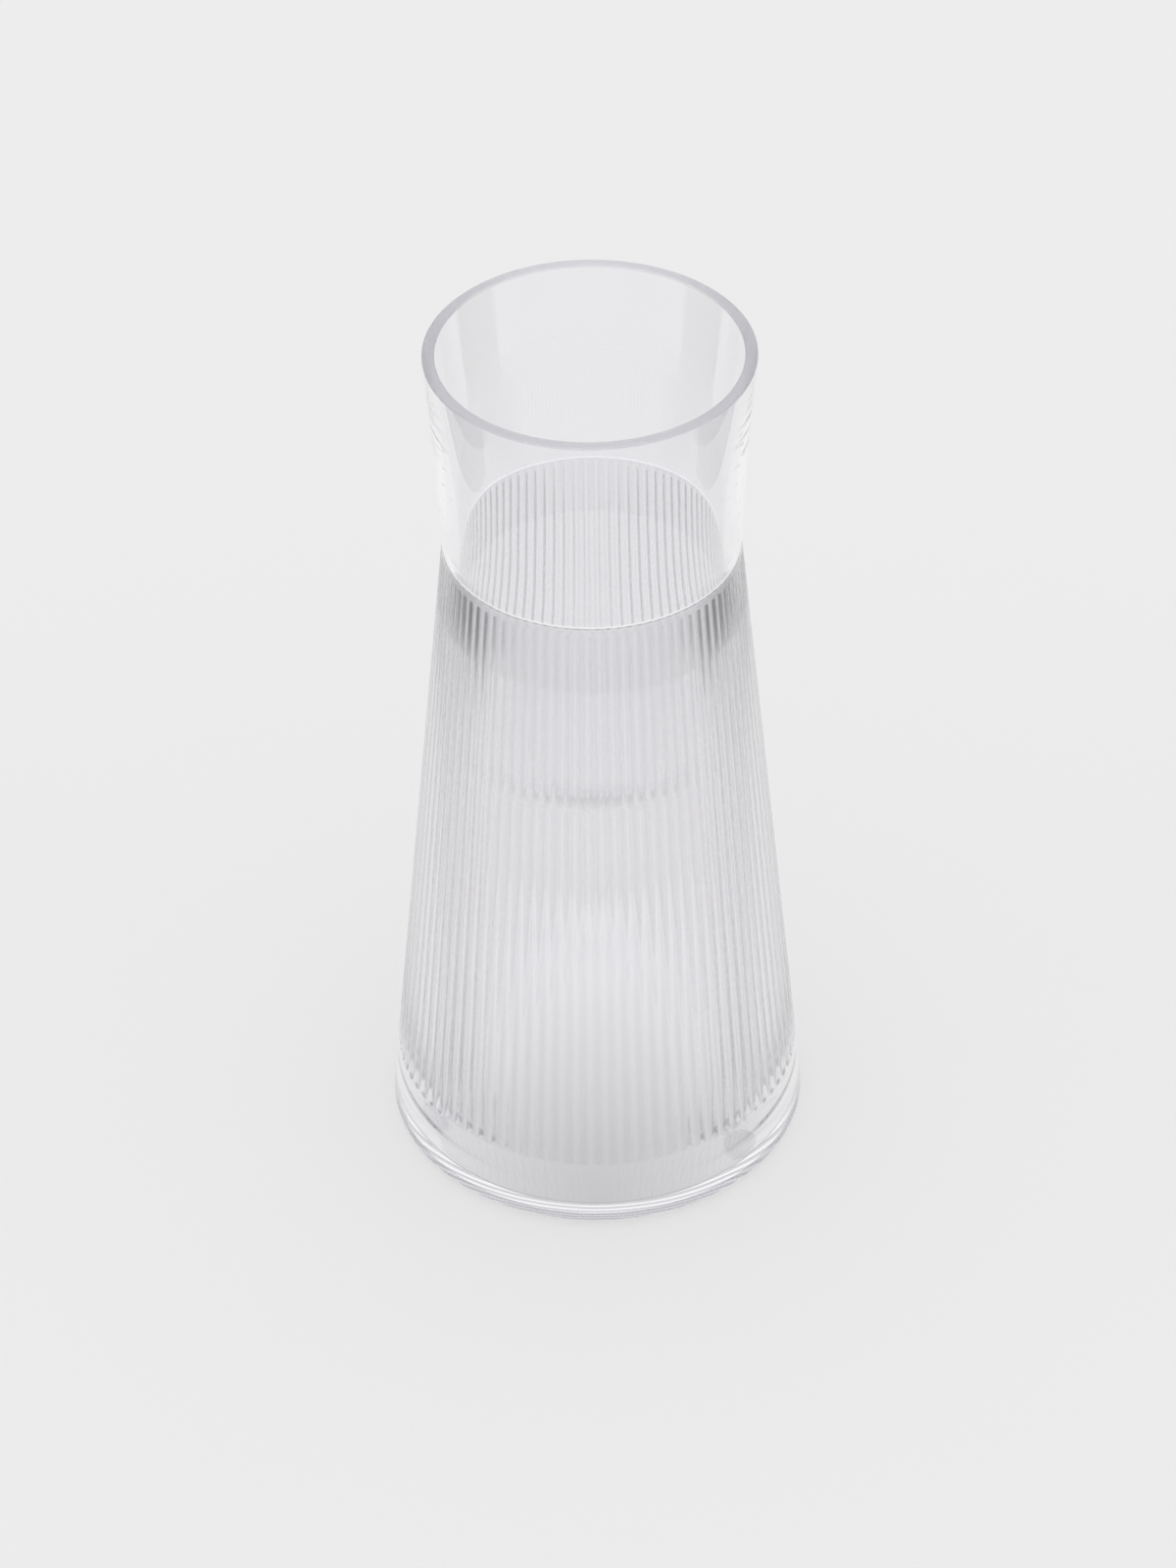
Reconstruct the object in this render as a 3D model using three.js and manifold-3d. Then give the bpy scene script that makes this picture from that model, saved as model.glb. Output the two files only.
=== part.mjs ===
// Crystal water carafe with a tumbler that nests in its mouth.
// Millimetres, +Z up. The origin is on the table, under the middle of the base.
// The front of the carafe, where one flute is centred, looks along -Y.

import * as THREE from 'three';
import { mergeVertices } from 'three/addons/utils/BufferGeometryUtils.js';
import Module from 'manifold-3d';

const wasm = await Module();
wasm.setup();

// Carafe: a flat base and a wall that narrows in a straight cone up to the mouth
const BASE_RADIUS = 48.4; // outside of the cone at the underside
const MOUTH_RADIUS = 32.3; // outside of the cone at the mouth
const BODY_HEIGHT = 159.5; // underside to mouth
const BASE_THICKNESS = 2.8; // glass under the inner floor
const BASE_CHAMFER = 0.4; // polished edge around the underside
const WALL = 2.9; // at the foot, measured level; it thins evenly up to the lip
const LIP = 1.0; // wall at the mouth
const FLOOR_FILLET = 1.2; // round corner between inner floor and wall

// Flutes: round-bottomed grooves with round ends, cut down the outside of the cone
const FLUTE_COUNT = 84;
const FLUTE_WIDTH = 2.1;
const FLUTE_DEPTH = 0.42;
const FLUTE_FOOT_BAND = 15.8; // plain glass from the underside to the flutes' lower ends
const FLUTE_MOUTH_BAND = 0.6; // plain glass from the flutes' upper ends to the mouth

// Tumbler: a flared cup whose lower half plugs the carafe's mouth and hangs inside the body
const RIM_RADIUS = 35.05;
const RIM_WALL = 2.65;
const RIM_BEVEL = 0.3; // ground edges of the flat rim
const TUMBLER_RISE = 48.2; // shoulder to rim
const FLARE_BOW = 0.2; // how far the flared side bows in from a straight line
const PLUG_LENGTH = 59.5; // shoulder to the tumbler's underside
const PLUG_STRAIGHT = 11.8; // upper part of the plug, straight where it sits in the mouth
const PLUG_TAPER = 1.5; // how much the plug narrows from there to its bottom corner
const PLUG_WALL = 2.2;
const PLUG_FILLET = 12; // round outside corner at the tumbler's underside
const TUMBLER_FLOOR = 2.4;
const INNER_TURN = 16; // length of the soft turn of the inner wall below the flare

// Bumper pads: clear discs stuck under the base
const PAD_COUNT = 3;
const PAD_HEIGHT = 2.0;
const PAD_RADIUS = 4.5;
const PAD_EDGE = 0.6; // round lower edge
const PAD_INSET = 5.5; // base edge to the pads' centres
const PAD_TURN = 53; // degrees from the front, towards +X, of the first pad

// Clearances
const SEAT_GAP = 0.3; // tumbler shoulder over the carafe's lip
const PLUG_CLEARANCE = 0.3; // tumbler plug inside the carafe's mouth
const ADHESIVE = 0.1; // film between a pad and the base

// Facets
const TUMBLER_SIDES = 48;
const PAD_SIDES = 24;
const CUTTER_SIDES = 16;
const CUTTER_CAP_STEPS = 4;
const FILLET_STEPS = 5;
const CURVE_STEPS = 8;
const MERGE_DISTANCE = 1e-5;

// Places that follow from the sizes above
const UNDERSIDE_Z = PAD_HEIGHT;
const INNER_FLOOR_Z = UNDERSIDE_Z + BASE_THICKNESS;
const MOUTH_Z = UNDERSIDE_Z + BODY_HEIGHT;
const CONE_SLOPE = (BASE_RADIUS - MOUTH_RADIUS) / BODY_HEIGHT;
const CONE_ANGLE = Math.atan(CONE_SLOPE);
const BORE_RADIUS = MOUTH_RADIUS - LIP;
const SHOULDER_Z = MOUTH_Z + SEAT_GAP;
const RIM_Z = SHOULDER_Z + TUMBLER_RISE;
const PLUG_RADIUS = BORE_RADIUS - PLUG_CLEARANCE;
const PLUG_BOTTOM_Z = SHOULDER_Z - PLUG_LENGTH;
const PLUG_STRAIGHT_Z = SHOULDER_Z - PLUG_STRAIGHT;

const GLASS_TINT = 0xe4e4ea;
const PAD_TINT = 0xe9e9e6;

// Outside radius of the carafe's cone at a height.
function coneRadius(z) {
  return BASE_RADIUS - CONE_SLOPE * (z - UNDERSIDE_Z);
}

function point(radius, z) {
  return new THREE.Vector2(radius, z);
}

// Points of an arc about (radius, z), from one angle to another, in degrees from level outwards.
function arc(radius, z, size, fromDegrees, toDegrees) {
  const points = [];
  for (let step = 0; step <= FILLET_STEPS; step += 1) {
    const degrees = fromDegrees + ((toDegrees - fromDegrees) * step) / FILLET_STEPS;
    const angle = THREE.MathUtils.degToRad(degrees);
    points.push(point(radius + size * Math.cos(angle), z + size * Math.sin(angle)));
  }
  return points;
}

// A solid of revolution about +Z. The first side is centred on the front.
function turned(profile, sides) {
  const geometry = new THREE.LatheGeometry(profile, sides, -Math.PI / sides, 2 * Math.PI);
  return geometry.rotateX(Math.PI / 2);
}

// Closed geometry to solid: shared corners are merged and slivers at the axis dropped.
function toSolid(geometry) {
  geometry.deleteAttribute('normal');
  geometry.deleteAttribute('uv');
  const merged = mergeVertices(geometry, MERGE_DISTANCE);
  const corners = merged.index.array;
  const triangles = [];
  for (let start = 0; start < corners.length; start += 3) {
    const [a, b, c] = corners.slice(start, start + 3);
    if (a !== b && b !== c && c !== a) triangles.push(a, b, c);
  }
  const mesh = new wasm.Mesh({
    numProp: 3,
    vertProperties: merged.attributes.position.array,
    triVerts: new Uint32Array(triangles),
  });
  return new wasm.Manifold(mesh);
}

function toGeometry(solid) {
  const mesh = solid.getMesh();
  const geometry = new THREE.BufferGeometry();
  geometry.setAttribute('position', new THREE.BufferAttribute(mesh.vertProperties, 3));
  geometry.setIndex(new THREE.BufferAttribute(mesh.triVerts, 1));
  geometry.computeVertexNormals();
  return geometry;
}

function glass() {
  return new THREE.MeshStandardMaterial({
    color: GLASS_TINT,
    roughness: 0.05,
    metalness: 0,
    transparent: true,
    opacity: 0.35,
  });
}

// Carafe before its flutes are cut: out along the underside, up the cone, down the inside.
function carafeProfile() {
  const chamferTopZ = UNDERSIDE_Z + BASE_CHAMFER;
  const filletZ = INNER_FLOOR_Z + FLOOR_FILLET;
  const innerRadius = coneRadius(filletZ) - WALL;
  return [
    point(0, UNDERSIDE_Z),
    point(BASE_RADIUS - BASE_CHAMFER, UNDERSIDE_Z),
    point(coneRadius(chamferTopZ), chamferTopZ),
    point(MOUTH_RADIUS, MOUTH_Z),
    point(BORE_RADIUS, MOUTH_Z),
    ...arc(innerRadius - FLOOR_FILLET, filletZ, FLOOR_FILLET, 0, -90),
    point(0, INNER_FLOOR_Z),
  ];
}

// The round cutter that makes one flute: a rod with round ends, lying along the front of the cone.
function fluteCutter() {
  const cutterRadius = (FLUTE_WIDTH ** 2 / 4 + FLUTE_DEPTH ** 2) / (2 * FLUTE_DEPTH);
  const lowZ = UNDERSIDE_Z + FLUTE_FOOT_BAND;
  const highZ = MOUTH_Z - FLUTE_MOUTH_BAND;
  const rod = (highZ - lowZ) / Math.cos(CONE_ANGLE) - FLUTE_WIDTH;
  const profile = [];
  for (const end of [-1, 1]) {
    for (let step = 0; step <= CUTTER_CAP_STEPS; step += 1) {
      const turn = end < 0 ? step : CUTTER_CAP_STEPS - step;
      const angle = (Math.PI / 2) * (turn / CUTTER_CAP_STEPS);
      const along = end * (rod / 2 + cutterRadius * Math.cos(angle));
      const onAxis = turn === 0;
      profile.push(point(onAxis ? 0 : cutterRadius * Math.sin(angle), along));
    }
  }
  // One edge of the cutter, not a flat, points at the glass.
  const rodGeometry = turned(profile, CUTTER_SIDES).rotateZ(Math.PI / CUTTER_SIDES);
  const middleZ = (lowZ + highZ) / 2;
  const sideRadius = coneRadius(middleZ) * Math.cos(Math.PI / FLUTE_COUNT);
  const proud = cutterRadius - FLUTE_DEPTH;
  rodGeometry.rotateX(-CONE_ANGLE);
  rodGeometry.translate(
    0,
    -(sideRadius + proud * Math.cos(CONE_ANGLE)),
    middleZ + proud * Math.sin(CONE_ANGLE),
  );
  return rodGeometry;
}

function carafeBody() {
  const cutter = fluteCutter();
  let body = toSolid(turned(carafeProfile(), FLUTE_COUNT));
  for (let flute = 0; flute < FLUTE_COUNT; flute += 1) {
    const placed = cutter.clone().rotateZ((2 * Math.PI * flute) / FLUTE_COUNT);
    body = body.subtract(toSolid(placed));
  }
  const mesh = new THREE.Mesh(toGeometry(body), glass());
  mesh.name = 'carafe_body';
  return mesh;
}

// Tumbler: out along its underside, up the plug, over the shoulder, up the flare, down the inside.
function tumblerProfile() {
  const filletZ = PLUG_BOTTOM_Z + PLUG_FILLET;
  const footRadius = PLUG_RADIUS - PLUG_TAPER;
  const innerFillet = PLUG_FILLET - PLUG_WALL;
  const innerFloorZ = PLUG_BOTTOM_Z + TUMBLER_FLOOR;
  const flareStart = point(MOUTH_RADIUS, SHOULDER_Z);
  const flareEnd = point(RIM_RADIUS, RIM_Z - RIM_BEVEL);
  const flareMiddle = flareStart.clone().lerp(flareEnd, 0.5).sub(point(2 * FLARE_BOW, 0));
  const flare = new THREE.QuadraticBezierCurve(flareStart, flareMiddle, flareEnd);
  const rimInside = point(RIM_RADIUS - RIM_WALL, RIM_Z - RIM_BEVEL);
  const turnEnd = point(PLUG_RADIUS - PLUG_WALL, SHOULDER_Z - INNER_TURN / 2);
  const inside = new THREE.CubicBezierCurve(
    rimInside,
    flareMiddle.clone().sub(point(RIM_WALL, 0)),
    turnEnd.clone().add(point(0, INNER_TURN)),
    turnEnd,
  );
  const innerFootRadius = footRadius - PLUG_WALL;
  return [
    point(0, PLUG_BOTTOM_Z),
    ...arc(footRadius - PLUG_FILLET, filletZ, PLUG_FILLET, -90, 0),
    point(PLUG_RADIUS, PLUG_STRAIGHT_Z),
    point(PLUG_RADIUS, SHOULDER_Z),
    ...flare.getPoints(CURVE_STEPS),
    point(RIM_RADIUS - RIM_BEVEL, RIM_Z),
    point(RIM_RADIUS - RIM_WALL + RIM_BEVEL, RIM_Z),
    ...inside.getPoints(CURVE_STEPS),
    point(PLUG_RADIUS - PLUG_WALL, PLUG_STRAIGHT_Z),
    ...arc(innerFootRadius - innerFillet, innerFloorZ + innerFillet, innerFillet, 0, -90),
    point(0, innerFloorZ),
  ];
}

function tumbler() {
  const mesh = new THREE.Mesh(turned(tumblerProfile(), TUMBLER_SIDES), glass());
  mesh.name = 'tumbler';
  return mesh;
}

// One bumper pad, standing on the table, with a round lower edge.
function bumperPad(number) {
  const profile = [
    point(0, 0),
    ...arc(PAD_RADIUS - PAD_EDGE, PAD_EDGE, PAD_EDGE, -90, 0),
    point(PAD_RADIUS, PAD_HEIGHT - ADHESIVE),
    point(0, PAD_HEIGHT - ADHESIVE),
  ];
  const material = new THREE.MeshStandardMaterial({
    color: PAD_TINT,
    roughness: 0.3,
    metalness: 0,
  });
  const mesh = new THREE.Mesh(turned(profile, PAD_SIDES), material);
  const turn = THREE.MathUtils.degToRad(PAD_TURN + (360 * number) / PAD_COUNT);
  const ringRadius = BASE_RADIUS - PAD_INSET;
  mesh.position.set(ringRadius * Math.sin(turn), -ringRadius * Math.cos(turn), 0);
  mesh.name = `bumper_pad_${number + 1}`;
  return mesh;
}

const carafe = new THREE.Group();
carafe.add(carafeBody());
carafe.add(tumbler());
for (let number = 0; number < PAD_COUNT; number += 1) {
  carafe.add(bumperPad(number));
}

export default carafe;
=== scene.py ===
# %% [markdown]
# A crystal water carafe with its tumbler, for a reader who is learning Blender.
# The carafe is a straight glass cone cut all round with fine upright flutes. A flared tumbler rests in
# its mouth, and three clear stick-on pads lift the thin base off the table. Everything is clear, so
# the picture is made by shapes and by what surrounds them: each form is built with its full wall,
# because light bends at both sides of a wall.

# %% Load the frame
import math

import bmesh
import bpy
from mathutils import Matrix, Vector


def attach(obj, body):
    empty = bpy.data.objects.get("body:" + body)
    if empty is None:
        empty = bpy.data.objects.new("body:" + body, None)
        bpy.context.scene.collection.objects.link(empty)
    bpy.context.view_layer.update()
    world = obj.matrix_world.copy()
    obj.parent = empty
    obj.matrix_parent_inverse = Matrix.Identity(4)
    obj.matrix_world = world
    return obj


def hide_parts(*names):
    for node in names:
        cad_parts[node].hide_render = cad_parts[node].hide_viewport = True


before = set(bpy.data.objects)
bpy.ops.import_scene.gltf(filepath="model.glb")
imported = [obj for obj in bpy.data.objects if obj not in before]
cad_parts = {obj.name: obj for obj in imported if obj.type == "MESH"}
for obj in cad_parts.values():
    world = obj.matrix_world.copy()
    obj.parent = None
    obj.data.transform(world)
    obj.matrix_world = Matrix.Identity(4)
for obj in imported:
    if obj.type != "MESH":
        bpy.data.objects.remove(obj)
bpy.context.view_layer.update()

# %% [markdown]
# The sizes are those of the solid model, in millimetres, because a glassmaker thinks in them. They become
# metres only when a mesh is made. Each form below is written as a profile: points of radius and
# height that are turned about the upright axis, as glass is turned on a lathe or in a mould.

# %% Sizes of the carafe and the tumbler
MM = 0.001
BASE_RADIUS = 48.4
MOUTH_RADIUS = 32.3
UNDERSIDE_Z = 2.0
INNER_FLOOR_Z = 4.8
MOUTH_Z = 161.5
BASE_CHAMFER = 0.4
WALL = 2.9
LIP = 1.0
FLOOR_FILLET = 1.2
CONE_SLOPE = (BASE_RADIUS - MOUTH_RADIUS) / (MOUTH_Z - UNDERSIDE_Z)
LIP_INNER_RADIUS = MOUTH_RADIUS - LIP

RIM_RADIUS = 35.05
RIM_WALL = 2.65
RIM_BEVEL = 0.3
RIM_Z = 210.0
SHOULDER_Z = 161.8
FLARE_BOW = 0.2
PLUG_RADIUS = 31.0
PLUG_TAPER = 1.5
PLUG_WALL = 2.2
PLUG_FILLET = 12.0
PLUG_BOTTOM_Z = 102.3
PLUG_STRAIGHT_Z = 150.0
TUMBLER_FLOOR = 2.4
INNER_TURN = 16.0


def cone_radius(z):
    """Outside radius of the carafe's cone at a height."""
    return BASE_RADIUS - CONE_SLOPE * (z - UNDERSIDE_Z)


print("cone slope %.4f, mouth %.1f mm wide inside" % (CONE_SLOPE, 2 * LIP_INNER_RADIUS))

# %% [markdown]
# The camera stands where the photograph was taken: in front, looking down at about 40 degrees through a
# long lens. A long lens keeps the sides of the carafe nearly parallel. The roll is the small tilt of the
# photograph. The image is taken to be 1200 by 1600, so the longer side is the height, and Blender's
# sensor width of 36 mm belongs to it.

# %% Camera
CAMERA_PLACE = Vector((0.0, -0.7539, 0.7214))
CAMERA_PITCH = math.radians(39.826)
CAMERA_YAW = math.radians(-0.109)
CAMERA_ROLL = math.radians(-0.683)
LENS = 99.99

forward = Vector((
    math.sin(CAMERA_YAW) * math.cos(CAMERA_PITCH),
    math.cos(CAMERA_YAW) * math.cos(CAMERA_PITCH),
    -math.sin(CAMERA_PITCH),
))
level_right = Vector((math.cos(CAMERA_YAW), -math.sin(CAMERA_YAW), 0.0))
level_up = level_right.cross(forward)
right = math.cos(CAMERA_ROLL) * level_right + math.sin(CAMERA_ROLL) * level_up
up = math.cos(CAMERA_ROLL) * level_up - math.sin(CAMERA_ROLL) * level_right
camera_turn = Matrix((right, up, -forward)).transposed().to_4x4()
camera_turn.translation = CAMERA_PLACE

camera_data = bpy.data.cameras.new("camera")
camera_data.sensor_width = 36.0
camera_data.lens = LENS
camera_data.clip_start = 0.01
camera = bpy.data.objects.new("camera", camera_data)
camera.matrix_world = camera_turn
scene = bpy.context.scene
scene.collection.objects.link(camera)
scene.camera = camera
print("camera at", tuple(round(value, 4) for value in CAMERA_PLACE))

# %% [markdown]
# Light that enters a thin wall runs along inside it and turns many times before it comes out. With
# Blender's usual limit of twelve turns that light is lost and the edges go black, so the limits are raised.

# %% Light paths through glass
GLASS_BOUNCES = 200
scene.cycles.max_bounces = GLASS_BOUNCES
scene.cycles.transmission_bounces = GLASS_BOUNCES
scene.cycles.glossy_bounces = GLASS_BOUNCES
scene.view_settings.view_transform = "Standard"
print("glass may turn a ray", GLASS_BOUNCES, "times")

# %% [markdown]
# A node tree is easier to read when its links are short to write. These helpers wire a socket, make one
# step of arithmetic and name a group's input: a number is set on the socket, an output is linked to it.


# %% Helpers for node trees
def wire(tree, socket, value):
    """Links an output to a socket, or sets a plain value on it."""
    if isinstance(value, bpy.types.NodeSocket):
        tree.links.new(value, socket)
    else:
        socket.default_value = value


def sum_of(tree, operation, first, second=0.0):
    """One Math node; returns its output."""
    node = tree.nodes.new("ShaderNodeMath")
    node.operation = operation
    wire(tree, node.inputs[0], first)
    wire(tree, node.inputs[1], second)
    return node.outputs[0]


def distance(tree, across, along):
    """The length of two measures at right angles to each other."""
    squares = sum_of(tree, "ADD", sum_of(tree, "POWER", across, 2), sum_of(tree, "POWER", along, 2))
    return sum_of(tree, "SQRT", squares)


def tree_input(tree, name, kind, value=None):
    """A named input of a node group."""
    socket = tree.interface.new_socket(name=name, in_out="INPUT", socket_type=kind)
    if value is not None:
        socket.default_value = value
    return socket


# %% [markdown]
# The set is a pale sheet under the glass, dark flags at both sides and a soft light above, as
# for any glass on white: glass has little colour of its own, so it is drawn by the dark edges it bends
# into view. The sheet shows its paleness to the camera and to the glass through Light Path, and keeps
# a share of plain grey that takes the object's shadow. The glow would wash out the shade under the base,
# so a soft dark patch, a little to the front, gives it back to what the glass sees.

# %% Pale sheet
SHEET_LEVEL = 0.855
CAMERA_SHARE = 0.72
GLASS_SHARE = 0.97
SHEET_GREY = 0.86
SHEET_ROUGHNESS = 0.9
CONTACT_SHADE = 0.36
CONTACT_REACH = 0.08
CONTACT_FRONT = 0.04


def pale_sheet_material():
    material = bpy.data.materials.new("pale_sheet")
    material.use_nodes = True
    tree = material.node_tree
    paper = tree.nodes["Principled BSDF"]
    paper.inputs["Base Color"].default_value = (SHEET_GREY, SHEET_GREY, SHEET_GREY, 1.0)
    paper.inputs["Roughness"].default_value = SHEET_ROUGHNESS
    glow = tree.nodes.new("ShaderNodeEmission")
    path = tree.nodes.new("ShaderNodeLightPath").outputs
    seen_by_glass = sum_of(tree, "MAXIMUM", path["Is Transmission Ray"], path["Is Glossy Ray"])
    by_glass = sum_of(tree, "MULTIPLY", seen_by_glass, GLASS_SHARE)
    # The dark patch: strongest at its middle, gone at its reach
    place = tree.nodes.new("ShaderNodeSeparateXYZ")
    wire(tree, place.inputs[0], tree.nodes.new("ShaderNodeTexCoord").outputs["Object"])
    depth = sum_of(tree, "ADD", place.outputs["Y"], CONTACT_FRONT)
    away = sum_of(tree, "DIVIDE", distance(tree, place.outputs["X"], depth), CONTACT_REACH)
    patch = sum_of(tree, "MAXIMUM", sum_of(tree, "SUBTRACT", 1, away), 0)
    shade = sum_of(tree, "MULTIPLY", patch, CONTACT_SHADE)
    shade = sum_of(tree, "MULTIPLY", shade, seen_by_glass)
    level = sum_of(tree, "MULTIPLY", sum_of(tree, "SUBTRACT", 1, shade), SHEET_LEVEL)
    wire(tree, glow.inputs["Color"], level)
    by_camera = sum_of(tree, "MULTIPLY", path["Is Camera Ray"], CAMERA_SHARE)
    mix = tree.nodes.new("ShaderNodeMixShader")
    wire(tree, mix.inputs[0], sum_of(tree, "MAXIMUM", by_camera, by_glass))
    wire(tree, mix.inputs[1], paper.outputs[0])
    wire(tree, mix.inputs[2], glow.outputs[0])
    wire(tree, tree.nodes["Material Output"].inputs["Surface"], mix.outputs[0])
    return material


def flat_rectangle(name, corners, material):
    """A four-cornered stage piece, in metres."""
    mesh = bpy.data.meshes.new(name)
    mesh.from_pydata(corners, [], [(0, 1, 2, 3)])
    mesh.materials.append(material)
    piece = bpy.data.objects.new(name, mesh)
    scene.collection.objects.link(piece)
    return piece


SHEET_REACH = 3.0
sheet_corners = [
    (-SHEET_REACH, -SHEET_REACH, 0.0),
    (SHEET_REACH, -SHEET_REACH, 0.0),
    (SHEET_REACH, SHEET_REACH, 0.0),
    (-SHEET_REACH, SHEET_REACH, 0.0),
]
sheet = flat_rectangle("pale_sheet", sheet_corners, pale_sheet_material())
print("pale sheet, %.0f m across" % (2 * SHEET_REACH))

# %% [markdown]
# The room above the sheet is a soft gradient, a little dimmer near the horizon than overhead, like a ceiling
# lit by windows. The flags are plain dark cards, hidden from the camera and the sheet, that only glass sees:
# they draw the grey bands inside the neck and the darker corners under the waist.

# %% Room light and flags
ROOM_LOW = 0.85
ROOM_HIGH = 1.0
ROOM_TURN = 0.8
FLAG_LEVEL = 0.2
FLAG_DISTANCE = 0.246
FLAG_HEIGHT = 0.3
FLAG_FRONT = -0.05
FLAG_BACK = 0.145

room = bpy.data.worlds.new("room")
scene.world = room
room.use_nodes = True
room_tree = room.node_tree
direction = room_tree.nodes.new("ShaderNodeTexCoord")
split = room_tree.nodes.new("ShaderNodeSeparateXYZ")
wire(room_tree, split.inputs[0], direction.outputs["Generated"])
ramp = room_tree.nodes.new("ShaderNodeValToRGB")
wire(room_tree, ramp.inputs[0], split.outputs["Z"])
ramp.color_ramp.elements[0].position = 0.0
ramp.color_ramp.elements[0].color = (ROOM_LOW, ROOM_LOW, ROOM_LOW, 1.0)
ramp.color_ramp.elements[1].position = ROOM_TURN
ramp.color_ramp.elements[1].color = (ROOM_HIGH, ROOM_HIGH, ROOM_HIGH, 1.0)
wire(room_tree, room_tree.nodes["Background"].inputs["Color"], ramp.outputs["Color"])


def card_material(name, level):
    """A plain card of one grey level, whatever the light."""
    material = bpy.data.materials.new(name)
    material.use_nodes = True
    tree = material.node_tree
    tree.nodes.remove(tree.nodes["Principled BSDF"])
    glow = tree.nodes.new("ShaderNodeEmission")
    glow.inputs["Color"].default_value = (level, level, level, 1.0)
    wire(tree, tree.nodes["Material Output"].inputs["Surface"], glow.outputs[0])
    return material


def show_to_glass_only(piece):
    """Hides a card from the camera and from the sheet, so that it casts no shadow there."""
    piece.visible_camera = False
    piece.visible_diffuse = False


flag_material = card_material("dark_flag", FLAG_LEVEL)
for side, name in ((-1, "flag_left"), (1, "flag_right")):
    x = side * FLAG_DISTANCE
    flag_corners = [
        (x, FLAG_FRONT, 0.0),
        (x, FLAG_BACK, 0.0),
        (x, FLAG_BACK, FLAG_HEIGHT),
        (x, FLAG_FRONT, FLAG_HEIGHT),
    ]
    show_to_glass_only(flat_rectangle(name, flag_corners, flag_material))
print("two flags, %.2f m to each side" % FLAG_DISTANCE)

# %% [markdown]
# Clear glass is never perfectly clean. One shared group gives the crystal its slow waviness from polishing,
# and each piece the faint smudges of handling. It puts out a height for a Bump node and a mask for
# roughness; the shader itself stays in each material, with its plain values on its own sockets.

# %% Node group: polish and smudges
SMUDGE_START = 0.55


def polish_group():
    """A wave for the bump and patches of roughness, both from noise."""
    group = bpy.data.node_groups.new("polish_and_smudges", "ShaderNodeTree")
    tree_input(group, "Coordinates", "NodeSocketVector")
    tree_input(group, "Wave scale", "NodeSocketFloat", 60.0)
    tree_input(group, "Smudge scale", "NodeSocketFloat", 90.0)
    tree_input(group, "Smudge roughness", "NodeSocketFloat", 0.04)
    group.interface.new_socket(name="Wave", in_out="OUTPUT", socket_type="NodeSocketFloat")
    group.interface.new_socket(name="Roughness", in_out="OUTPUT", socket_type="NodeSocketFloat")
    inside = group.nodes.new("NodeGroupInput")
    result = group.nodes.new("NodeGroupOutput")
    wave = group.nodes.new("ShaderNodeTexNoise")
    wave.inputs["Detail"].default_value = 1.0
    wire(group, wave.inputs["Vector"], inside.outputs["Coordinates"])
    wire(group, wave.inputs["Scale"], inside.outputs["Wave scale"])
    wire(group, result.inputs["Wave"], wave.outputs["Fac"])
    smudge = group.nodes.new("ShaderNodeTexNoise")
    smudge.inputs["Detail"].default_value = 4.0
    wire(group, smudge.inputs["Vector"], inside.outputs["Coordinates"])
    wire(group, smudge.inputs["Scale"], inside.outputs["Smudge scale"])
    patch = sum_of(group, "SUBTRACT", smudge.outputs["Fac"], SMUDGE_START)
    patch = sum_of(group, "MAXIMUM", patch, 0.0)
    rough = sum_of(group, "MULTIPLY", patch, inside.outputs["Smudge roughness"])
    wire(group, result.inputs["Roughness"], rough)
    return group


polish = polish_group()
print("shared group:", polish.name)

# %% [markdown]
# Two marks of painted shade lie on the clear crystal, and both multiply its colour by a tone where a mask
# says so. The flutes of the carafe are cut and then polished with acid, which leaves them a touch satin. The
# grey in the middle of each flute is painted shade: it deepens where the glass turns away, and it is weaker
# on the far side, which is seen from within. The foot and its edge are greyer still, with painted shade.

# %% Helper: tone a colour
# A Mix node has one pair of inputs for each kind of data, and these are the colour ones
MIX_FIRST_COLOUR = 6
MIX_SECOND_COLOUR = 7
MIX_COLOUR_RESULT = 2


def toned(tree, base, mask, tone):
    """A colour multiplied by a tone where a mask is 1."""
    mix = tree.nodes.new("ShaderNodeMix")
    mix.data_type = "RGBA"
    mix.blend_type = "MULTIPLY"
    wire(tree, mix.inputs["Factor"], mask)
    wire(tree, mix.inputs[MIX_FIRST_COLOUR], base)
    wire(tree, mix.inputs[MIX_SECOND_COLOUR], (*tone, 1.0))
    return mix.outputs[MIX_COLOUR_RESULT]


# %% Masks of the flutes and the foot
FLUTE_COUNT = 84
FLUTE_LOW_Z = 17.5
FLUTE_HIGH_Z = 161.2
FLUTE_START = 1.0
SKIN_DEPTH = 1.2
# Heights below which the foot gets its painted shade
FOOT_BAND_Z = 4.4
FOOT_EDGE_Z = 2.39


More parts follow.
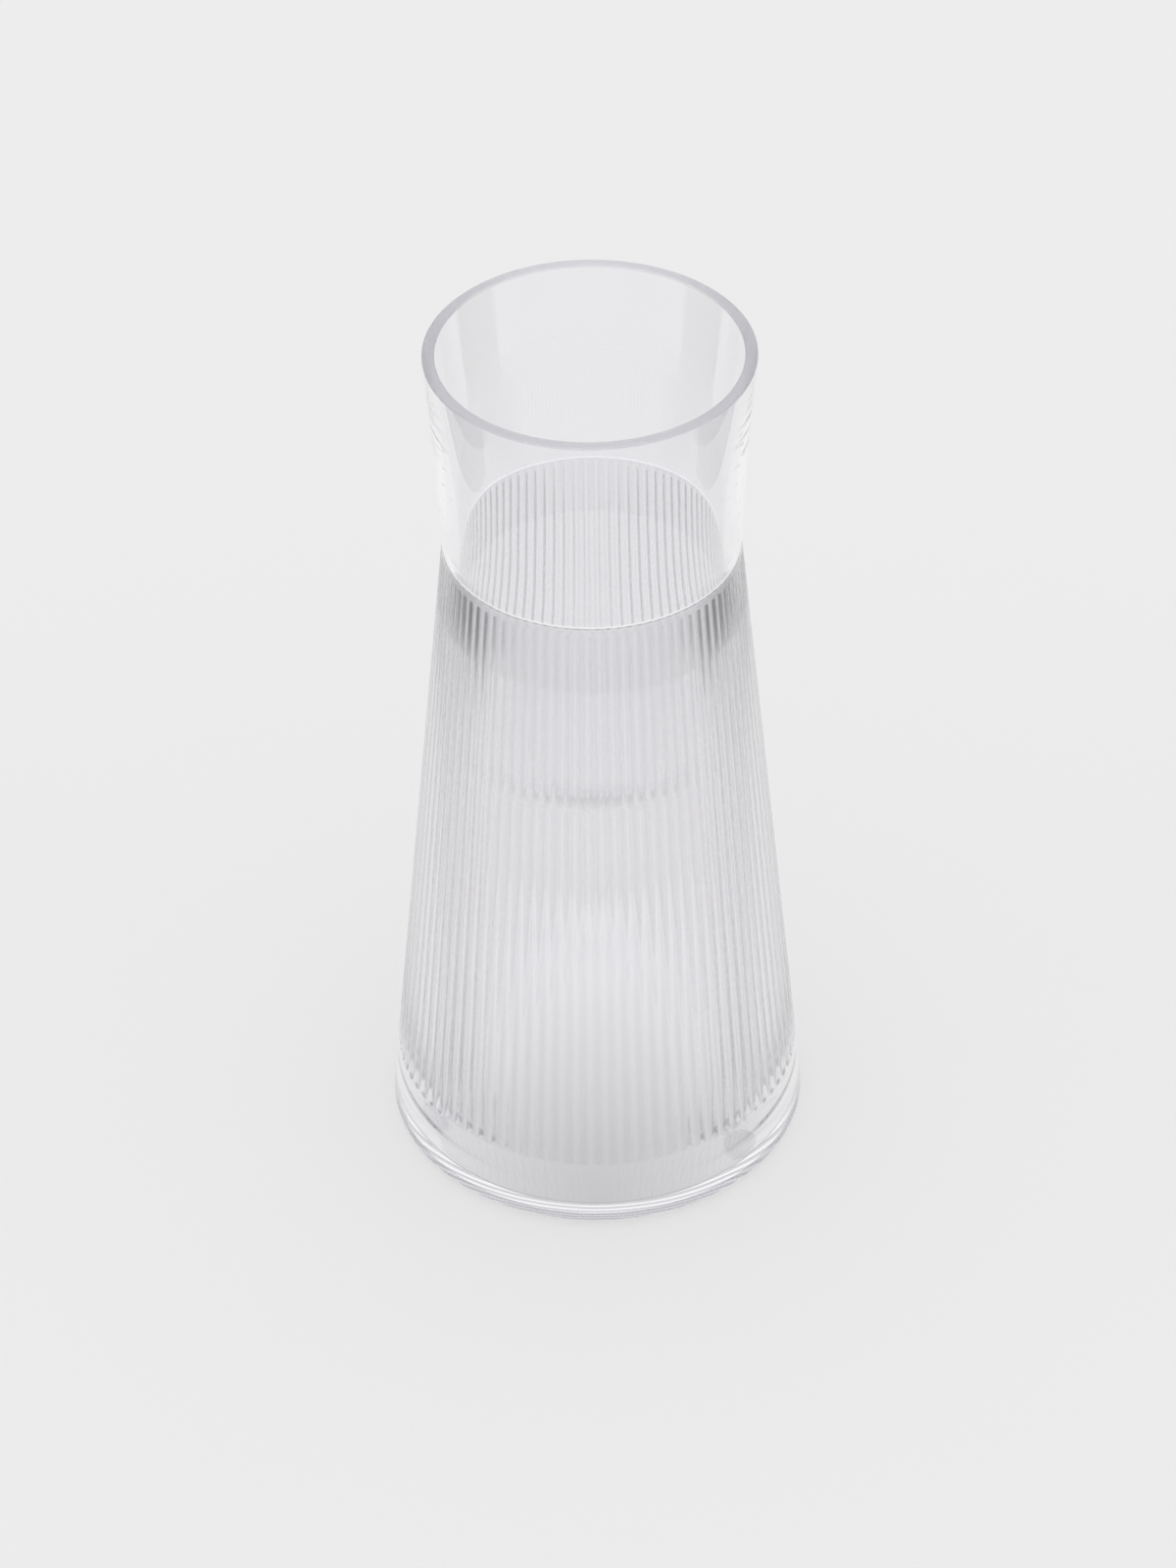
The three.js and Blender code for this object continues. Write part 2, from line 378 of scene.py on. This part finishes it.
def flute_masks(tree, place):
    """Masks of the flutes' middles, of all the fluted skin, and of the foot below each of its two lines."""
    split = tree.nodes.new("ShaderNodeSeparateXYZ")
    wire(tree, split.inputs[0], place)
    x, y, z = split.outputs
    azimuth = sum_of(tree, "ARCTAN2", x, sum_of(tree, "MULTIPLY", y, -1))
    wave = sum_of(tree, "COSINE", sum_of(tree, "MULTIPLY", azimuth, FLUTE_COUNT))
    middle = sum_of(tree, "MULTIPLY", sum_of(tree, "ADD", wave, 1), 0.5)
    above = sum_of(tree, "GREATER_THAN", z, (FLUTE_LOW_Z + FLUTE_START) * MM)
    below = sum_of(tree, "LESS_THAN", z, FLUTE_HIGH_Z * MM)
    climb = sum_of(tree, "MULTIPLY", sum_of(tree, "SUBTRACT", z, UNDERSIDE_Z * MM), CONE_SLOPE)
    under_skin = sum_of(tree, "SUBTRACT", (BASE_RADIUS - SKIN_DEPTH) * MM, climb)
    skin = sum_of(tree, "GREATER_THAN", distance(tree, x, y), under_skin)
    fluted = sum_of(tree, "MULTIPLY", sum_of(tree, "MULTIPLY", above, below), skin)
    foot = [
        sum_of(tree, "MULTIPLY", sum_of(tree, "LESS_THAN", z, top * MM), skin)
        for top in (FOOT_BAND_Z, FOOT_EDGE_Z)
    ]
    return sum_of(tree, "MULTIPLY", middle, fluted), fluted, foot


print("masks for", FLUTE_COUNT, "flutes between %.1f and %.1f mm" % (FLUTE_LOW_Z, FLUTE_HIGH_Z))

# %% Finish of the cut flutes, and painted shade on the grooves and the foot
FLUTE_ROUGHNESS = 0.2
# Painted shade in the flute middles, and its strength: front-on, added where the glass turns away, taken off
# on the far side
GROOVE_PAINTED_SHADE_TONE = (0.74, 0.73, 0.77)
GROOVE_FRONT = 0.2
GROOVE_TURN_GAIN = 0.8
GROOVE_FAR_LOSS = 0.8
# Painted shade on the foot band, and more on its bottom edge
FOOT_PAINTED_SHADE_TONE = (0.50, 0.50, 0.53)
FOOT_EDGE_PAINTED_SHADE_TONE = (0.55, 0.55, 0.58)


def flute_finish_and_painted_shade(tree, place, colour, rough):
    """Painted shade in the grooves and on the foot edge, and satin flutes."""
    # Painted shade: the flute middles are darkened, more where the glass turns away and less on the far side
    far_side = tree.nodes.new("ShaderNodeNewGeometry").outputs["Backfacing"]
    turned = tree.nodes.new("ShaderNodeLayerWeight").outputs["Facing"]
    strength = sum_of(tree, "ADD", sum_of(tree, "MULTIPLY", turned, GROOVE_TURN_GAIN), GROOVE_FRONT)
    near = sum_of(tree, "SUBTRACT", 1, sum_of(tree, "MULTIPLY", far_side, GROOVE_FAR_LOSS))
    groove, fluted, foot = flute_masks(tree, place)
    cut = sum_of(tree, "MULTIPLY", groove, sum_of(tree, "MULTIPLY", near, strength))
    colour = toned(tree, colour, cut, GROOVE_PAINTED_SHADE_TONE)
    # Painted shade on the foot band and, darker still, on its bottom edge
    for mask, tone in zip(foot, (FOOT_PAINTED_SHADE_TONE, FOOT_EDGE_PAINTED_SHADE_TONE)):
        colour = toned(tree, colour, mask, tone)
    satin = sum_of(tree, "MULTIPLY", fluted, FLUTE_ROUGHNESS)
    return colour, sum_of(tree, "MAXIMUM", satin, rough)


print("flutes finished to roughness", FLUTE_ROUGHNESS)

# %% [markdown]
# The tumbler's rim is ground flat and left satin, with a fine grain in its grey. The material finds it by its
# height. The flared part above the waist has a little more tone than the lower half, which should
# stay hard to see inside the carafe.

# %% Finish of the ground rim and the neck
RIM_MARGIN = 0.05
RIM_GRIND_Z = RIM_Z - RIM_BEVEL - RIM_MARGIN
RIM_GRIND_ROUGHNESS = 0.42
RIM_TONE = (0.86, 0.85, 0.90)
RIM_GRAIN_SCALE = 2600.0
RIM_GRAIN_LEAST = 0.5
NECK_TONE = (0.965, 0.962, 0.975)


def rim_finish(tree, place, colour, rough):
    """A satin, speckled rim and a faint tone on the neck."""
    height = tree.nodes.new("ShaderNodeSeparateXYZ")
    wire(tree, height.inputs[0], place)
    ground = sum_of(tree, "GREATER_THAN", height.outputs["Z"], RIM_GRIND_Z * MM)
    grain = tree.nodes.new("ShaderNodeTexNoise")
    grain.inputs["Scale"].default_value = RIM_GRAIN_SCALE
    wire(tree, grain.inputs["Vector"], place)
    speckle = sum_of(tree, "MULTIPLY", ground, sum_of(tree, "ADD", grain.outputs["Fac"], RIM_GRAIN_LEAST))
    colour = toned(tree, colour, speckle, RIM_TONE)
    neck = sum_of(tree, "GREATER_THAN", height.outputs["Z"], SHOULDER_Z * MM)
    colour = toned(tree, colour, neck, NECK_TONE)
    satin = sum_of(tree, "MULTIPLY", ground, RIM_GRIND_ROUGHNESS)
    return colour, sum_of(tree, "MAXIMUM", satin, rough)


print("rim ground above %.2f mm" % RIM_GRIND_Z)

# %% [markdown]
# The crystal itself is clear with a faint cool tone. The tone comes from a slow noise between two near
# colours, so that it isn't one flat value, and the index of refraction is that of crystal glass.

# %% Crystal materials
CRYSTAL_IOR = 1.52
TONE_SCALE = 18.0
WAVE_STRENGTH = 0.05
WAVE_HEIGHT = 0.0005
CARAFE_TONES = ((0.984, 0.978, 0.996), (0.996, 0.991, 1.0))
TUMBLER_TONES = ((0.985, 0.985, 0.990), (0.995, 0.995, 0.997))


def clear_material(name, index, tones, tone_scale):
    """A clear material with its plain values set; returns it, its shader, coordinates and colour."""
    material = bpy.data.materials.new(name)
    material.use_nodes = True
    tree = material.node_tree
    shader = tree.nodes["Principled BSDF"]
    shader.inputs["IOR"].default_value = index
    shader.inputs["Transmission Weight"].default_value = 1.0
    shader.inputs["Metallic"].default_value = 0.0
    place = tree.nodes.new("ShaderNodeTexCoord").outputs["Object"]
    cloud = tree.nodes.new("ShaderNodeTexNoise")
    cloud.inputs["Scale"].default_value = tone_scale
    wire(tree, cloud.inputs["Vector"], place)
    tint = tree.nodes.new("ShaderNodeValToRGB")
    for element, tone in zip(tint.color_ramp.elements, tones):
        element.color = (*tone, 1.0)
    wire(tree, tint.inputs[0], cloud.outputs["Fac"])
    return material, shader, place, tint.outputs["Color"]


def crystal_material(name, tones, finish_and_painted_shade):
    """Crystal glass with slow waves, smudges and one of the finishes above, the flutes' with painted shade.
    """
    material, shader, place, colour = clear_material(name, CRYSTAL_IOR, tones, TONE_SCALE)
    tree = material.node_tree
    worn = tree.nodes.new("ShaderNodeGroup")
    worn.node_tree = polish
    wire(tree, worn.inputs["Coordinates"], place)
    wave = tree.nodes.new("ShaderNodeBump")
    wave.inputs["Strength"].default_value = WAVE_STRENGTH
    wave.inputs["Distance"].default_value = WAVE_HEIGHT
    wire(tree, wave.inputs["Height"], worn.outputs["Wave"])
    wire(tree, shader.inputs["Normal"], wave.outputs["Normal"])
    colour, rough = finish_and_painted_shade(tree, place, colour, worn.outputs["Roughness"])
    wire(tree, shader.inputs["Base Color"], colour)
    wire(tree, shader.inputs["Roughness"], rough)
    return material


carafe_crystal = crystal_material("carafe_crystal", CARAFE_TONES, flute_finish_and_painted_shade)
tumbler_crystal = crystal_material("tumbler_crystal", TUMBLER_TONES, rim_finish)
print("crystal:", carafe_crystal.name, tumbler_crystal.name)

# %% [markdown]
# Turned forms. A profile could be spun with the Screw modifier, but a mesh written row by row keeps
# control of how many columns each flute gets. The first column is on the front, and a point on the axis
# closes each end, so that the glass is one watertight body.


# %% Helper: turn a profile
def turned_mesh(name, profile, columns):
    """A closed mesh turned about +Z from points of radius and height in millimetres."""
    corners = []
    rows = []
    for radius, z in profile:
        first = len(corners)
        count = 1 if radius == 0 else columns
        for column in range(count):
            angle = 2 * math.pi * column / columns
            corners.append((radius * math.sin(angle) * MM, -radius * math.cos(angle) * MM, z * MM))
        rows.append((first, count))
    faces = []
    for (low, low_count), (high, high_count) in zip(rows, rows[1:]):
        for column in range(columns):
            after = (column + 1) % columns
            if low_count == 1:
                faces.append((low, high + after, high + column))
            elif high_count == 1:
                faces.append((low + column, low + after, high))
            else:
                faces.append((low + column, low + after, high + after, high + column))
    mesh = bpy.data.meshes.new(name)
    mesh.from_pydata(corners, [], faces)
    work = bmesh.new()
    work.from_mesh(mesh)
    bmesh.ops.recalc_face_normals(work, faces=work.faces[:])
    work.to_mesh(mesh)
    work.free()
    return mesh


def arc_points(radius, z, size, start, end, steps):
    """Points of a round corner, with angles in degrees from level outwards."""
    points = []
    for step in range(steps + 1):
        angle = math.radians(start + (end - start) * step / steps)
        points.append((radius + size * math.cos(angle), z + size * math.sin(angle)))
    return points


def spread(start, end, steps):
    """Evenly spaced points from start to end, without the start."""
    points = []
    for step in range(1, steps + 1):
        part = step / steps
        points.append((start[0] + (end[0] - start[0]) * part, start[1] + (end[1] - start[1]) * part))
    return points


def shade_smooth(mesh, edge_degrees):
    """Smooth shading with hard edges where faces meet at more than an angle."""
    for face in mesh.polygons:
        face.use_smooth = True
    mesh.set_sharp_from_angle(angle=math.radians(edge_degrees))


# %% [markdown]
# The carafe before cutting: out along the underside, over the polished edge, up the cone, across
# the lip, down the inner wall, which is a straight cone too, and round into the thin floor. The rows stand
# close together at both ends of the flutes, where the cut runs out in a round end.

# %% Carafe blank
COLUMNS_PER_FLUTE = 16
END_LEAD = 0.3
END_REACH = 1.6
BASE_ROW_RADII = (20.0, 44.0)


def on_cone(z):
    """A profile point on the carafe's outside."""
    return (cone_radius(z), z)


def carafe_profile():
    """Points of radius and height, from the middle of the underside to the middle of the inner floor."""
    edge_z = UNDERSIDE_Z + BASE_CHAMFER
    points = [(0, UNDERSIDE_Z)]
    points += [(radius, UNDERSIDE_Z) for radius in BASE_ROW_RADII]
    points += [(BASE_RADIUS - BASE_CHAMFER, UNDERSIDE_Z), on_cone(edge_z)]
    stops = [
        (FLUTE_LOW_Z - END_LEAD, 3),
        (FLUTE_LOW_Z + END_REACH, 12),
        (FLUTE_HIGH_Z - END_REACH, 10),
        (MOUTH_Z, 10),
    ]
    for z, rows in stops:
        points += spread(points[-1], on_cone(z), rows)
    points += [(LIP_INNER_RADIUS, MOUTH_Z)]
    fillet_z = INNER_FLOOR_Z + FLOOR_FILLET
    inner_foot = cone_radius(fillet_z) - WALL
    points += spread((LIP_INNER_RADIUS, MOUTH_Z), (inner_foot, fillet_z), 4)
    points += arc_points(inner_foot - FLOOR_FILLET, fillet_z, FLOOR_FILLET, 0, -90, 6)[1:]
    points += [(BASE_ROW_RADII[0], INNER_FLOOR_Z), (0, INNER_FLOOR_Z)]
    return points


blank = turned_mesh("carafe_blank", carafe_profile(), FLUTE_COUNT * COLUMNS_PER_FLUTE)
carafe = bpy.data.objects.new("carafe", blank)
scene.collection.objects.link(carafe)
print("carafe blank:", len(blank.vertices), "corners")

# %% [markdown]
# The flutes follow a rule: 84 equal grooves with round ends, which narrow as the cone does. A boolean with
# 84 cutters would do it, and is what the solid model does. Here a Geometry Nodes tree moves the skin
# instead, which keeps the rows and columns even and lets neighbours meet in soft ridges, as acid polishing
# leaves them. A groove is as wide as Flute width, or as the pitch where that is less, and its
# depth falls from middle to edge as (1 - t squared) raised to the power called Edge polish.

# %% Geometry Nodes: flute cutting
SKIN_MARGIN = 0.05


def flute_tree():
    """Moves the outer skin of the cone inwards along its flutes."""
    tree = bpy.data.node_groups.new("flute_cutting", "GeometryNodeTree")
    tree_input(tree, "Geometry", "NodeSocketGeometry")
    tree_input(tree, "Flute count", "NodeSocketFloat")
    tree_input(tree, "Flute width", "NodeSocketFloat")
    tree_input(tree, "Flute depth", "NodeSocketFloat")
    tree_input(tree, "Edge polish", "NodeSocketFloat")
    tree_input(tree, "Lower end", "NodeSocketFloat")
    tree_input(tree, "Upper end", "NodeSocketFloat")
    tree_input(tree, "Base radius", "NodeSocketFloat")
    tree_input(tree, "Base height", "NodeSocketFloat")
    tree_input(tree, "Cone slope", "NodeSocketFloat")
    tree_input(tree, "Material", "NodeSocketMaterial")
    tree.interface.new_socket(name="Geometry", in_out="OUTPUT", socket_type="NodeSocketGeometry")
    given = tree.nodes.new("NodeGroupInput").outputs
    result = tree.nodes.new("NodeGroupOutput")
    place = tree.nodes.new("GeometryNodeInputPosition").outputs[0]
    split = tree.nodes.new("ShaderNodeSeparateXYZ")
    wire(tree, split.inputs[0], place)
    x, y, z = split.outputs
    # Where the point is: its radius, the cone's radius there, and the distance from the groove's middle
    radius = distance(tree, x, y)
    climb = sum_of(tree, "SUBTRACT", z, given["Base height"])
    drawn_in = sum_of(tree, "MULTIPLY", climb, given["Cone slope"])
    cone = sum_of(tree, "SUBTRACT", given["Base radius"], drawn_in)
    azimuth = sum_of(tree, "ARCTAN2", x, sum_of(tree, "MULTIPLY", y, -1))
    turn = sum_of(tree, "MULTIPLY", azimuth, sum_of(tree, "DIVIDE", given["Flute count"], 2 * math.pi))
    off = sum_of(tree, "SUBTRACT", turn, sum_of(tree, "ROUND", turn))
    pitch = sum_of(tree, "DIVIDE", sum_of(tree, "MULTIPLY", cone, 2 * math.pi), given["Flute count"])
    across = sum_of(tree, "MULTIPLY", off, pitch)
    # How far the point is past the middle of a round end
    half_width = sum_of(tree, "MULTIPLY", given["Flute width"], 0.5)
    half = sum_of(tree, "MINIMUM", half_width, sum_of(tree, "MULTIPLY", pitch, 0.5))
    below = sum_of(tree, "SUBTRACT", sum_of(tree, "ADD", given["Lower end"], half_width), z)
    above = sum_of(tree, "SUBTRACT", z, sum_of(tree, "SUBTRACT", given["Upper end"], half_width))
    past = sum_of(tree, "ADD", sum_of(tree, "MAXIMUM", below, 0), sum_of(tree, "MAXIMUM", above, 0))
    # The depth of the cut, and only on the outside of the cone
    far = sum_of(tree, "ADD", sum_of(tree, "POWER", across, 2), sum_of(tree, "POWER", past, 2))
    part = sum_of(tree, "MINIMUM", sum_of(tree, "DIVIDE", far, sum_of(tree, "POWER", half, 2)), 1)
    cut = sum_of(tree, "POWER", sum_of(tree, "SUBTRACT", 1, part), given["Edge polish"])
    depth = sum_of(tree, "MULTIPLY", cut, given["Flute depth"])
    outside = sum_of(tree, "GREATER_THAN", radius, sum_of(tree, "SUBTRACT", cone, SKIN_MARGIN * MM))
    depth = sum_of(tree, "MULTIPLY", depth, outside)
    share = sum_of(tree, "DIVIDE", depth, sum_of(tree, "MAXIMUM", radius, MM))
    move = tree.nodes.new("ShaderNodeCombineXYZ")
    wire(tree, move.inputs[0], sum_of(tree, "MULTIPLY", sum_of(tree, "MULTIPLY", x, share), -1))
    wire(tree, move.inputs[1], sum_of(tree, "MULTIPLY", sum_of(tree, "MULTIPLY", y, share), -1))
    cutter = tree.nodes.new("GeometryNodeSetPosition")
    wire(tree, cutter.inputs["Geometry"], given["Geometry"])
    wire(tree, cutter.inputs["Offset"], move.outputs[0])
    real = tree.nodes.new("GeometryNodeRealizeInstances")
    wire(tree, real.inputs["Geometry"], cutter.outputs["Geometry"])
    paint = tree.nodes.new("GeometryNodeSetMaterial")
    wire(tree, paint.inputs["Geometry"], real.outputs["Geometry"])
    wire(tree, paint.inputs["Material"], given["Material"])
    wire(tree, result.inputs["Geometry"], paint.outputs["Geometry"])
    return tree


def grow(piece, tree, values):
    """Runs a Geometry Nodes tree on a piece and keeps the result as a plain mesh."""
    sockets = {item.name: item.identifier for item in tree.interface.items_tree if item.in_out == "INPUT"}
    modifier = piece.modifiers.new(tree.name, "NODES")
    modifier.node_group = tree
    for name, value in values.items():
        modifier[sockets[name]] = value
    bpy.context.view_layer.update()
    grown = piece.evaluated_get(bpy.context.evaluated_depsgraph_get())
    mesh = bpy.data.meshes.new_from_object(grown)
    piece.modifiers.clear()
    piece.data = mesh
    return mesh


# %% Cut the flutes
FLUTE_WIDTH = 4.0
FLUTE_DEPTH = 0.5
EDGE_POLISH = 2.0
HARD_EDGE_DEGREES = 40
flute_values = {
    "Flute count": float(FLUTE_COUNT),
    "Flute width": FLUTE_WIDTH * MM,
    "Flute depth": FLUTE_DEPTH * MM,
    "Edge polish": EDGE_POLISH,
    "Lower end": FLUTE_LOW_Z * MM,
    "Upper end": FLUTE_HIGH_Z * MM,
    "Base radius": BASE_RADIUS * MM,
    "Base height": UNDERSIDE_Z * MM,
    "Cone slope": CONE_SLOPE,
    "Material": carafe_crystal,
}
carafe_mesh = grow(carafe, flute_tree(), flute_values)
shade_smooth(carafe_mesh, HARD_EDGE_DEGREES)
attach(carafe, "carafe")
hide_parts("carafe_body")
print("carafe:", len(carafe_mesh.polygons), "faces,", FLUTE_COUNT, "flutes")

# %% [markdown]
# The tumbler is a flared cup. Its lower half plugs the carafe's mouth and hangs inside the body, and a
# small shoulder rests on the lip. Its inner wall turns softly from the flare into the plug, so the
# profile is resampled closely and averaged along its length: a hard corner inside clear glass would show
# as a line.

# %% Tumbler profile
TUMBLER_COLUMNS = 192
TUMBLER_EDGE_DEGREES = 25
SHOULDER_EDGE = 0.1
FLOOR_ROW_RADIUS = 9.0
AVERAGE_STEPS = 6


def curve_points(corners, steps):
    """Points of a Bezier curve of any degree, from its corner points."""
    points = []
    for step in range(steps + 1):
        part = step / steps
        row = list(corners)
        while len(row) > 1:
            row = [
                (a[0] + (b[0] - a[0]) * part, a[1] + (b[1] - a[1]) * part)
                for a, b in zip(row, row[1:])
            ]
        points.append(row[0])
    return points


def softened(points, spacing, reach):
    """A profile resampled evenly and averaged over a reach to each side, in millimetres."""
    lengths = [0.0]
    for a, b in zip(points, points[1:]):
        lengths.append(lengths[-1] + math.dist(a, b))
    count = round(lengths[-1] / spacing)

    def at(length):
        length = min(max(length, 0.0), lengths[-1])
        for index in range(len(points) - 1):
            if length <= lengths[index + 1]:
                step = lengths[index + 1] - lengths[index]
                part = (length - lengths[index]) / step if step else 0.0
                a, b = points[index], points[index + 1]
                return (a[0] + (b[0] - a[0]) * part, a[1] + (b[1] - a[1]) * part)
        return points[-1]

    result = []
    for number in range(count + 1):
        length = lengths[-1] * number / count
        near = min(reach, length, lengths[-1] - length)
        offsets = range(-AVERAGE_STEPS, AVERAGE_STEPS + 1)
        samples = [at(length + near * offset / AVERAGE_STEPS) for offset in offsets]
        result.append((
            sum(sample[0] for sample in samples) / len(samples),
            sum(sample[1] for sample in samples) / len(samples),
        ))
    return result


def tumbler_profile():
    """Points of radius and height, from the middle of the base over the rim to the middle of the inside."""
    foot = PLUG_RADIUS - PLUG_TAPER
    flare_start = (MOUTH_RADIUS, SHOULDER_Z + SHOULDER_EDGE)
    flare_end = (RIM_RADIUS, RIM_Z - RIM_BEVEL)
    middle = ((flare_start[0] + flare_end[0]) / 2 - 2 * FLARE_BOW, (flare_start[1] + flare_end[1]) / 2)
    plug = arc_points(foot - PLUG_FILLET, PLUG_BOTTOM_Z + PLUG_FILLET, PLUG_FILLET, -90, 0, 24)
    plug += [(PLUG_RADIUS, PLUG_STRAIGHT_Z), (PLUG_RADIUS, SHOULDER_Z)]
    outside = softened(plug, 1.0, 3.0)
    outside += [(MOUTH_RADIUS - SHOULDER_EDGE, SHOULDER_Z)]
    outside += curve_points([flare_start, middle, flare_end], 100)
    rim = [(RIM_RADIUS - RIM_BEVEL, RIM_Z), (RIM_RADIUS - RIM_WALL + RIM_BEVEL, RIM_Z)]
    turn_end = (PLUG_RADIUS - PLUG_WALL, SHOULDER_Z - INNER_TURN / 2)
    inside = curve_points([
        (RIM_RADIUS - RIM_WALL, RIM_Z - RIM_BEVEL),
        (middle[0] - RIM_WALL, middle[1]),
        (turn_end[0], turn_end[1] + INNER_TURN),
        turn_end,
    ], 40)
    inner_fillet = PLUG_FILLET - PLUG_WALL
    inner_floor_z = PLUG_BOTTOM_Z + TUMBLER_FLOOR
    inside += [(PLUG_RADIUS - PLUG_WALL, PLUG_STRAIGHT_Z)]
    turn_radius = foot - PLUG_WALL - inner_fillet
    inside += arc_points(turn_radius, inner_floor_z + inner_fillet, inner_fillet, 0, -90, 24)
    inside = softened(inside, 0.5, 5.0)
    base = [(0, PLUG_BOTTOM_Z), (FLOOR_ROW_RADIUS, PLUG_BOTTOM_Z)]
    floor = [(FLOOR_ROW_RADIUS, inner_floor_z), (0, inner_floor_z)]
    return base + outside + rim + inside + floor


tumbler_mesh = turned_mesh("tumbler", tumbler_profile(), TUMBLER_COLUMNS)
tumbler_mesh.materials.append(tumbler_crystal)
shade_smooth(tumbler_mesh, TUMBLER_EDGE_DEGREES)
tumbler = bpy.data.objects.new("tumbler_glass", tumbler_mesh)
scene.collection.objects.link(tumbler)
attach(tumbler, "tumbler")
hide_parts("tumbler")
print("tumbler:", len(tumbler_mesh.polygons), "faces")

# %% [markdown]
# Three clear resin pads are stuck under the base, evenly round a ring. One pad is turned from a small
# profile with a round lower edge, and a Geometry Nodes tree sets copies of it on the corners of a circle.

# %% Pad material
PAD_IOR = 1.47
PAD_TONES = ((0.74, 0.74, 0.76), (0.84, 0.84, 0.86))
PAD_TONE_SCALE = 400.0
PAD_WAVE_SCALE = 300.0
PAD_SMUDGE_SCALE = 500.0
PAD_SMUDGE_ROUGHNESS = 1.6


def pad_material():
    """Clear resin, a little cloudy and worn."""
    material, shader, place, colour = clear_material("clear_bumper", PAD_IOR, PAD_TONES, PAD_TONE_SCALE)
    tree = material.node_tree
    wire(tree, shader.inputs["Base Color"], colour)
    worn = tree.nodes.new("ShaderNodeGroup")
    worn.node_tree = polish
    worn.inputs["Wave scale"].default_value = PAD_WAVE_SCALE
    worn.inputs["Smudge scale"].default_value = PAD_SMUDGE_SCALE
    worn.inputs["Smudge roughness"].default_value = PAD_SMUDGE_ROUGHNESS
    wire(tree, worn.inputs["Coordinates"], place)
    wire(tree, shader.inputs["Roughness"], worn.outputs["Roughness"])
    return material


clear_bumper = pad_material()
print("pads:", clear_bumper.name)


# %% Geometry Nodes: ring of pads
def ring_tree():
    """Copies of one pad on the corners of a circle."""
    tree = bpy.data.node_groups.new("pad_ring", "GeometryNodeTree")
    tree_input(tree, "Geometry", "NodeSocketGeometry")
    tree_input(tree, "Pad count", "NodeSocketInt")
    tree_input(tree, "Ring radius", "NodeSocketFloat")
    tree_input(tree, "First turn", "NodeSocketFloat")
    tree_input(tree, "Material", "NodeSocketMaterial")
    tree.interface.new_socket(name="Geometry", in_out="OUTPUT", socket_type="NodeSocketGeometry")
    given = tree.nodes.new("NodeGroupInput").outputs
    result = tree.nodes.new("NodeGroupOutput")
    ring = tree.nodes.new("GeometryNodeMeshCircle")
    wire(tree, ring.inputs["Vertices"], given["Pad count"])
    wire(tree, ring.inputs["Radius"], given["Ring radius"])
    turn = tree.nodes.new("ShaderNodeCombineXYZ")
    wire(tree, turn.inputs[2], given["First turn"])
    placed = tree.nodes.new("GeometryNodeTransform")
    wire(tree, placed.inputs["Geometry"], ring.outputs[0])
    wire(tree, placed.inputs["Rotation"], turn.outputs[0])
    copies = tree.nodes.new("GeometryNodeInstanceOnPoints")
    wire(tree, copies.inputs["Points"], placed.outputs["Geometry"])
    wire(tree, copies.inputs["Instance"], given["Geometry"])
    real = tree.nodes.new("GeometryNodeRealizeInstances")
    wire(tree, real.inputs["Geometry"], copies.outputs["Instances"])
    paint = tree.nodes.new("GeometryNodeSetMaterial")
    wire(tree, paint.inputs["Geometry"], real.outputs["Geometry"])
    wire(tree, paint.inputs["Material"], given["Material"])
    wire(tree, result.inputs["Geometry"], paint.outputs["Geometry"])
    return tree


# %% Place the pads
PAD_COUNT = 3
PAD_RADIUS = 4.5
PAD_TOP_Z = 1.9
PAD_EDGE = 0.6
PAD_RING = BASE_RADIUS - 5.5
PAD_TURN = 53.0
PAD_COLUMNS = 64
PAD_TOP_BEVEL = 0.15

pad_profile = [(0, 0.0), (PAD_RADIUS / 3, 0.0)]
pad_profile += arc_points(PAD_RADIUS - PAD_EDGE, PAD_EDGE, PAD_EDGE, -90, 0, 8)
pad_profile += [(PAD_RADIUS, PAD_TOP_Z - PAD_TOP_BEVEL)]
pad_profile += [(PAD_RADIUS - PAD_TOP_BEVEL, PAD_TOP_Z), (0, PAD_TOP_Z)]
pads = bpy.data.objects.new("bumper_pads", turned_mesh("pad", pad_profile, PAD_COLUMNS))
scene.collection.objects.link(pads)
pad_values = {
    "Pad count": PAD_COUNT,
    "Ring radius": PAD_RING * MM,
    "First turn": math.radians(PAD_TURN - 90),
    "Material": clear_bumper,
}
pad_mesh = grow(pads, ring_tree(), pad_values)
shade_smooth(pad_mesh, HARD_EDGE_DEGREES)
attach(pads, "carafe")
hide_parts("bumper_pad_1", "bumper_pad_2", "bumper_pad_3")
print("pads:", len(pad_mesh.polygons), "faces")
